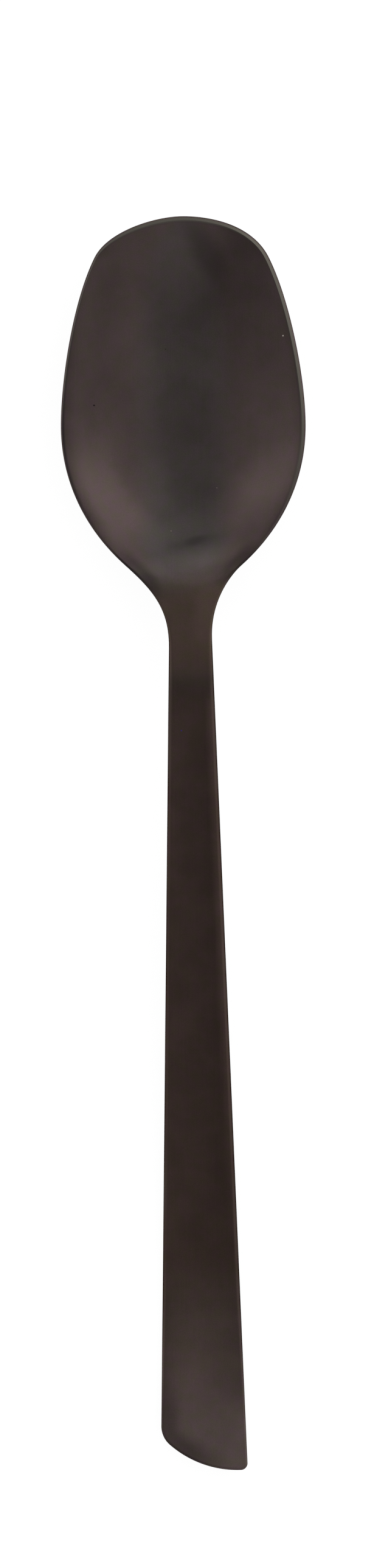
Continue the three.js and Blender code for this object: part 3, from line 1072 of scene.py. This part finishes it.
# %% Colour of the coat
WALL_COAT = srgb(63, 54, 53)
LIT_LAND = srgb(76, 73, 67)
SHADED_LAND = srgb(42, 38, 40)
WORN_COAT = srgb(72, 63, 58)
OLIVE_TINT = (0.97, 1.02, 0.91, 1)
PINK_TINT = (1.03, 0.98, 1.06, 1)
TINTS_PER_METRE = 700
TINT_RANGE = (0.35, 0.65)
PATTERN_RANGE = (0.3, 0.7)
LINE_DEPTH = 0.015
GRAIN_DEPTH = 0.045
CLOUD_DEPTH = 0.07
SMOKE_DEPTH = 0.05
WEAR_RANGE = (0.5, 0.7)
WEAR_MOST = 0.6


def coat_colour(finish, lines, grain, clouds, smoke):
    """The drifting colour with its tints, patterns and painted light and shade, then worn edges, the land
    with its painted highlight and shade, and the marks.
    """
    colour = finish.mix(finish.stored("wall"), drift(finish), WALL_COAT)
    tint = finish.span(noise(finish, TINTS_PER_METRE, detail=3.0), *TINT_RANGE)
    colour = finish.mix(1.0, colour, finish.mix(tint, OLIVE_TINT, PINK_TINT), blend="MULTIPLY")
    # The painted light and shade, times the real patterns of the coat.
    shade = finish.stored("shade")
    patterns = ((lines, LINE_DEPTH), (grain, GRAIN_DEPTH), (clouds, CLOUD_DEPTH), (smoke, SMOKE_DEPTH))
    for pattern, depth in patterns:
        shade = finish.math("MULTIPLY", shade, finish.span(pattern, *PATTERN_RANGE, 1 - depth, 1 + depth))
    colour = finish.mix(1.0, colour, finish.grey(shade), blend="MULTIPLY")
    wear = finish.math("MULTIPLY", finish.stored("exposed"), finish.span(clouds, *WEAR_RANGE, 0, WEAR_MOST))
    colour = finish.mix(wear, colour, WORN_COAT)
    # The land is painted lit on its wide side and painted in shade on the other side.
    land_colour = finish.mix(finish.stored("painted_land_light"), SHADED_LAND, LIT_LAND)
    colour = finish.mix(finish.stored("land"), colour, land_colour)
    return with_specks(finish, colour)


# %% The coat itself
LINES_PER_METRE = 5000
GRAINS_PER_METRE = 6000
CLOUDS_PER_METRE = 60
SMOKE_PER_METRE = 220
EDGE_TINT = srgb(120, 112, 108)
COAT_ROUGHNESS = 0.3
LINE_ROUGHNESS = 0.01
SMOKE_ROUGHNESS = 0.015
BUMP_STRENGTH = 0.03
BUMP_DEPTH = 0.01 * MM


def coat(name):
    finish = Finish(name)
    lines = brushing(finish, LINES_PER_METRE)
    grain = noise(finish, GRAINS_PER_METRE, detail=1.0)
    clouds = noise(finish, CLOUDS_PER_METRE)
    smoke = noise(finish, SMOKE_PER_METRE, detail=4.0)
    shader = finish.shader.inputs
    shader["Metallic"].default_value = 1
    shader["Specular Tint"].default_value = EDGE_TINT
    finish.feed(shader["Base Color"], coat_colour(finish, lines, grain, clouds, smoke))
    smooth, rough = COAT_ROUGHNESS - LINE_ROUGHNESS, COAT_ROUGHNESS + LINE_ROUGHNESS
    rough_lines = finish.span(lines, *PATTERN_RANGE, smooth, rough)
    rough_smoke = finish.span(smoke, *PATTERN_RANGE, -SMOKE_ROUGHNESS, SMOKE_ROUGHNESS)
    finish.feed(shader["Roughness"], finish.math("ADD", rough_lines, rough_smoke))
    relief = {"Height": lines, "Strength": BUMP_STRENGTH, "Distance": BUMP_DEPTH}
    finish.feed(shader["Normal"], finish.node("ShaderNodeBump", relief).outputs["Normal"])
    return finish.material


dark_coat = coat("dark_coat")
for piece in (bowl, handle):
    piece.data.materials.append(dark_coat)
print("nodes in the coat:", len(dark_coat.node_tree.nodes))

# %% [markdown]
# ## Floor
#
# The spoon lies on a plain white ground. Most of its white is the floor's own, seen directly and in the
# metal. The rest comes from the lamps, so that the spoon keeps a soft shadow there.

# %% A white floor that keeps the shadow
FLOOR_SIZE = 12.0
FLOOR_GAP = 0.02 * MM
FLOOR_OWN_WHITE = 0.93
FLOOR_PAINT = 0.1

half_floor = FLOOR_SIZE / 2
stage_height = table_height - FLOOR_GAP
corner_signs = ((-1, -1), (1, -1), (1, 1), (-1, 1))
floor_corners = [(x * half_floor, y * half_floor, stage_height) for x, y in corner_signs]
floor_mesh = bpy.data.meshes.new("floor")
floor_mesh.from_pydata(floor_corners, [], [(0, 1, 2, 3)])
floor = bpy.data.objects.new("floor", floor_mesh)
bpy.context.scene.collection.objects.link(floor)
print(f"floor {FLOOR_SIZE:.0f} m wide at {stage_height / MM:.3f} mm")

# %% The floor's paint
def floor_paint():
    finish = Finish("white_ground")
    rays = finish.node("ShaderNodeLightPath").outputs
    seen = finish.math("MAXIMUM", rays["Is Camera Ray"], rays["Is Glossy Ray"])
    seen = finish.math("MAXIMUM", seen, rays["Is Transmission Ray"])
    shader = finish.shader.inputs
    shader["Base Color"].default_value = (FLOOR_PAINT, FLOOR_PAINT, FLOOR_PAINT, 1)
    shader["Roughness"].default_value = 1
    shader["Specular IOR Level"].default_value = 0
    shader["Emission Color"].default_value = (1, 1, 1, 1)
    finish.feed(shader["Emission Strength"], finish.math("MULTIPLY", seen, FLOOR_OWN_WHITE))
    return finish.material


floor_mesh.materials.append(floor_paint())
print("paint of the floor:", floor_mesh.materials[0].name)

# %% [markdown]
# ## Soft studio light
#
# The bowl is a curved mirror for half of the room, so the lamps decide where its tones lie. The two pale
# patches low in the bowl are boxes beyond the tip, to the right and left. The heel shows the boxes straight
# beyond the tip, and the front of the bowl shows one on the handle's side. All are large and far away,
# which gives the slow changes of tone that satin metal shows by a window. The room itself is even.

# %% The room and its soft boxes
ROOM_LEVEL = 0.58
LAMP_DISTANCE = 2.5

room = bpy.data.worlds.new("room")
room.use_nodes = True
room.node_tree.nodes["Background"].inputs["Color"].default_value = (ROOM_LEVEL, ROOM_LEVEL, ROOM_LEVEL, 1)
bpy.context.scene.world = room


def soft_box(name, azimuth, elevation, wide, tall, brightness):
    """A lamp that faces the spoon. Its place and size are angles in degrees as seen from the spoon."""
    turn, rise = math.radians(azimuth), math.radians(elevation)
    lamp = bpy.data.lights.new(name, "AREA")
    lamp.shape = "RECTANGLE"
    lamp.size = LAMP_DISTANCE * math.cos(rise) * math.radians(wide)
    lamp.size_y = 2 * LAMP_DISTANCE * math.tan(math.radians(tall / 2))
    lamp.energy = brightness * math.pi * lamp.size * lamp.size_y
    stand = bpy.data.objects.new(name, lamp)
    level = math.cos(rise)
    towards = Vector((math.cos(turn) * level, math.sin(turn) * level, math.sin(rise)))
    stand.location = towards * LAMP_DISTANCE
    stand.rotation_euler = towards.to_track_quat("Z", "Y").to_euler()
    bpy.context.scene.collection.objects.link(stand)
    return stand


boxes = [
    soft_box("right_back_box", 45, 23, 79, 34, 1.39),
    soft_box("back_box", 122, 35, 92, 32, 0.55),
    soft_box("back_low_box", 102, 9.5, 47, 15.5, 1.67),
    soft_box("left_back_box", 149, 19, 50, 36.5, 0.72),
    soft_box("left_box", 170, 36, 46, 65, 0.44),
    soft_box("right_box", 16, 41, 116, 64, 0.52),
    soft_box("front_box", 284, 34.5, 71, 56, 0.47),
    soft_box("top_box", 68, 65, 89, 49, 0.26),
]
print("soft boxes:", [(box.name, round(box.data.energy, 1)) for box in boxes])

# %% [markdown]
# ## Camera
#
# The spoon is seen from straight above through a long lens. The frame is 643 by 2576 pixels, and the
# spoon's length in it gives the scale.

# %% Camera straight above
PIXELS_PER_MM = 10.05
FRAME_HEIGHT_PX = 2576
CAMERA_HEIGHT = 2.0
CAMERA_X = 2.0 * MM
CAMERA_Y = 9.8 * MM
SCALE_PLANE = 6 * MM

view_height = FRAME_HEIGHT_PX / PIXELS_PER_MM * MM
lens = bpy.data.cameras.new("camera")
lens.lens = lens.sensor_width * (CAMERA_HEIGHT - SCALE_PLANE) / view_height
camera = bpy.data.objects.new("camera", lens)
camera.location = (CAMERA_X, CAMERA_Y, CAMERA_HEIGHT)
bpy.context.scene.collection.objects.link(camera)
bpy.context.scene.camera = camera
bpy.context.scene.view_settings.view_transform = "Standard"
print(f"lens {lens.lens:.0f} mm, {view_height / MM:.1f} mm of the floor from top to bottom")
